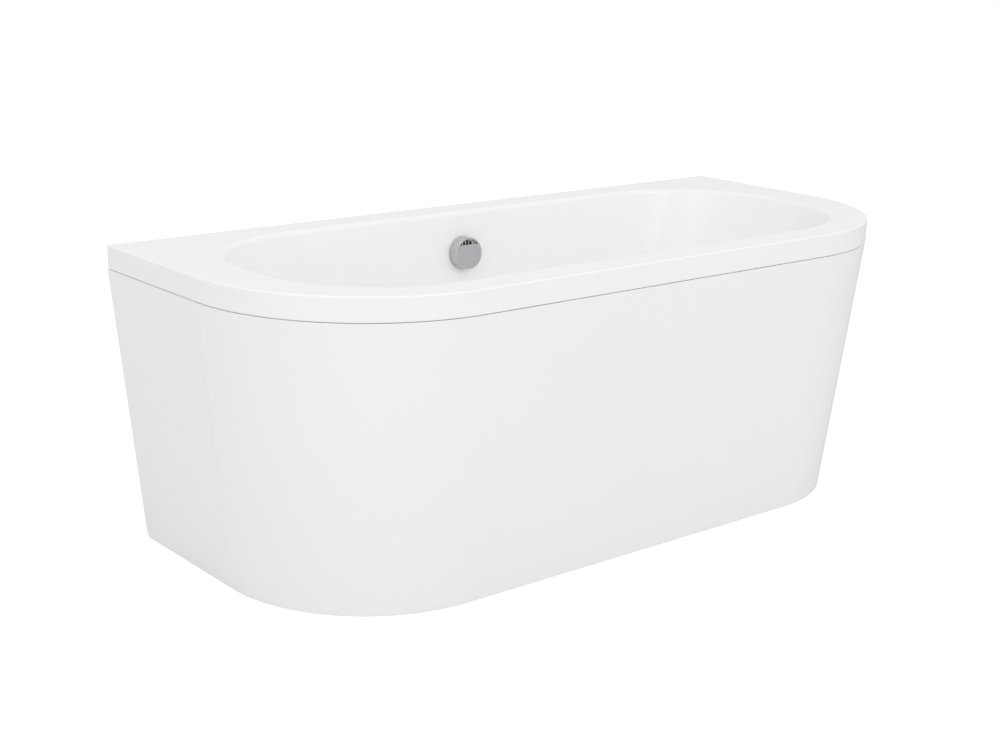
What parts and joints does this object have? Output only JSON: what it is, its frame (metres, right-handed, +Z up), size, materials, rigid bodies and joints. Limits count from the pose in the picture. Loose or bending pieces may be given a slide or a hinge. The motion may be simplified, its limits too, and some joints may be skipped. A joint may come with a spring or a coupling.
{
  "type": "back-to-wall bathtub",
  "caption": "White D-plan back-to-wall bathtub with a deep rounded bowl, a wrap-around panel, a turning overflow control and a pop-up waste.",
  "frame": {"origin": "on the floor, under the middle of the rim's bounding box", "axes": "+X along the bath's length, to the right as seen from the front; +Y towards the wall; +Z up"},
  "size_m": [1.7, 0.75, 0.64],
  "materials": {
    "white_acrylic": "gloss",
    "glass_fibre": "rough, chopped strand",
    "chipboard": "raw board",
    "timber": "sawn softwood",
    "zinc_steel": "bright zinc plate",
    "stainless_steel": "brushed",
    "chrome": "polished",
    "brass": "machined",
    "rubber": "matt",
    "black_plastic": "moulded",
    "white_plastic": "moulded",
    "grey_plastic": "moulded, ribbed"
  },
  "bodies": {
    "tub": {"bath_shell": "white_acrylic", "front_panel": "white_acrylic", "glassfibre_backing": "glass_fibre", "base_board": "chipboard", "rim_batten_back": "timber", "rim_batten_front": "timber", "rim_batten_left": "timber", "rim_batten_right": "timber", "panel_rail": "timber", "panel_brackets": "zinc_steel", "panel_fixings": "zinc_steel", "leg_channel_left": "zinc_steel", "leg_channel_right": "zinc_steel", "centre_leg_bracket": "zinc_steel", "leg_screws": "zinc_steel", "lock_nuts": "zinc_steel", "weld_nuts": "zinc_steel", "wall_brackets": "zinc_steel", "wall_bracket_screws": "zinc_steel", "waste_flange": "chrome", "stem_guide": "white_plastic", "flange_seal": "rubber", "waste_gasket": "rubber", "waste_body": "white_plastic", "lever_pin": "stainless_steel", "overflow_gasket": "rubber", "overflow_body": "white_plastic", "drum_cover": "white_plastic", "overflow_faceplate": "stainless_steel", "overflow_screws": "stainless_steel", "cable_sheath": "black_plastic", "cable_wire": "stainless_steel", "overflow_hose": "grey_plastic", "hose_nut_bottom": "white_plastic", "hose_nut_top": "white_plastic", "trap_body": "white_plastic", "trap_inlet_seal": "rubber", "trap_inlet_nut": "white_plastic", "trap_outlet_seal": "rubber", "trap_outlet_nut": "white_plastic"},
    "knob": {"control_knob": "chrome", "control_spindle": "brass", "cable_drum": "white_plastic"},
    "plug": {"waste_plug": "chrome", "plug_seal": "rubber"},
    "lever": {"lift_lever": "white_plastic"},
    "foot_front_left": {"foot_stud_front_left": "zinc_steel", "foot_pad_front_left": "black_plastic"},
    "foot_front_right": {"foot_stud_front_right": "zinc_steel", "foot_pad_front_right": "black_plastic"},
    "foot_back_left": {"foot_stud_back_left": "zinc_steel", "foot_pad_back_left": "black_plastic"},
    "foot_back_right": {"foot_stud_back_right": "zinc_steel", "foot_pad_back_right": "black_plastic"},
    "foot_centre": {"foot_stud_centre": "zinc_steel", "foot_pad_centre": "black_plastic"}
  },
  "joints": [
    {"name": "knob_turn", "type": "hinge", "parent": "tub", "child": "knob", "pos_m": [-0.015, 0.28306, 0.5454], "axis": [0, -0.9945, 0.1045], "range_deg": [0, 90]},
    {"name": "plug_lift", "type": "slide", "parent": "tub", "child": "plug", "axis": [0, 0, 1], "range_m": [0, 0.012]},
    {"name": "lever_rock", "type": "hinge", "parent": "tub", "child": "lever", "pos_m": [0, 0.024, 0.144], "axis": [-1, 0, 0], "range_deg": [0, 28.66], "deforming": ["cable_wire"]},
    {"name": "foot_front_left_level", "type": "slide", "parent": "tub", "child": "foot_front_left", "axis": [0, 0, -1], "range_m": [-0.008, 0.014]},
    {"name": "foot_front_right_level", "type": "slide", "parent": "tub", "child": "foot_front_right", "axis": [0, 0, -1], "range_m": [-0.008, 0.014]},
    {"name": "foot_back_left_level", "type": "slide", "parent": "tub", "child": "foot_back_left", "axis": [0, 0, -1], "range_m": [-0.008, 0.014]},
    {"name": "foot_back_right_level", "type": "slide", "parent": "tub", "child": "foot_back_right", "axis": [0, 0, -1], "range_m": [-0.008, 0.014]},
    {"name": "foot_centre_level", "type": "slide", "parent": "tub", "child": "foot_centre", "axis": [0, 0, -1], "range_m": [-0.008, 0.014]}
  ],
  "couplings": [
    {"joint": "plug_lift", "follows": "knob_turn", "m_per_rad": 0.0076394},
    {"joint": "lever_rock", "follows": "knob_turn", "ratio": 0.31831}
  ]
}
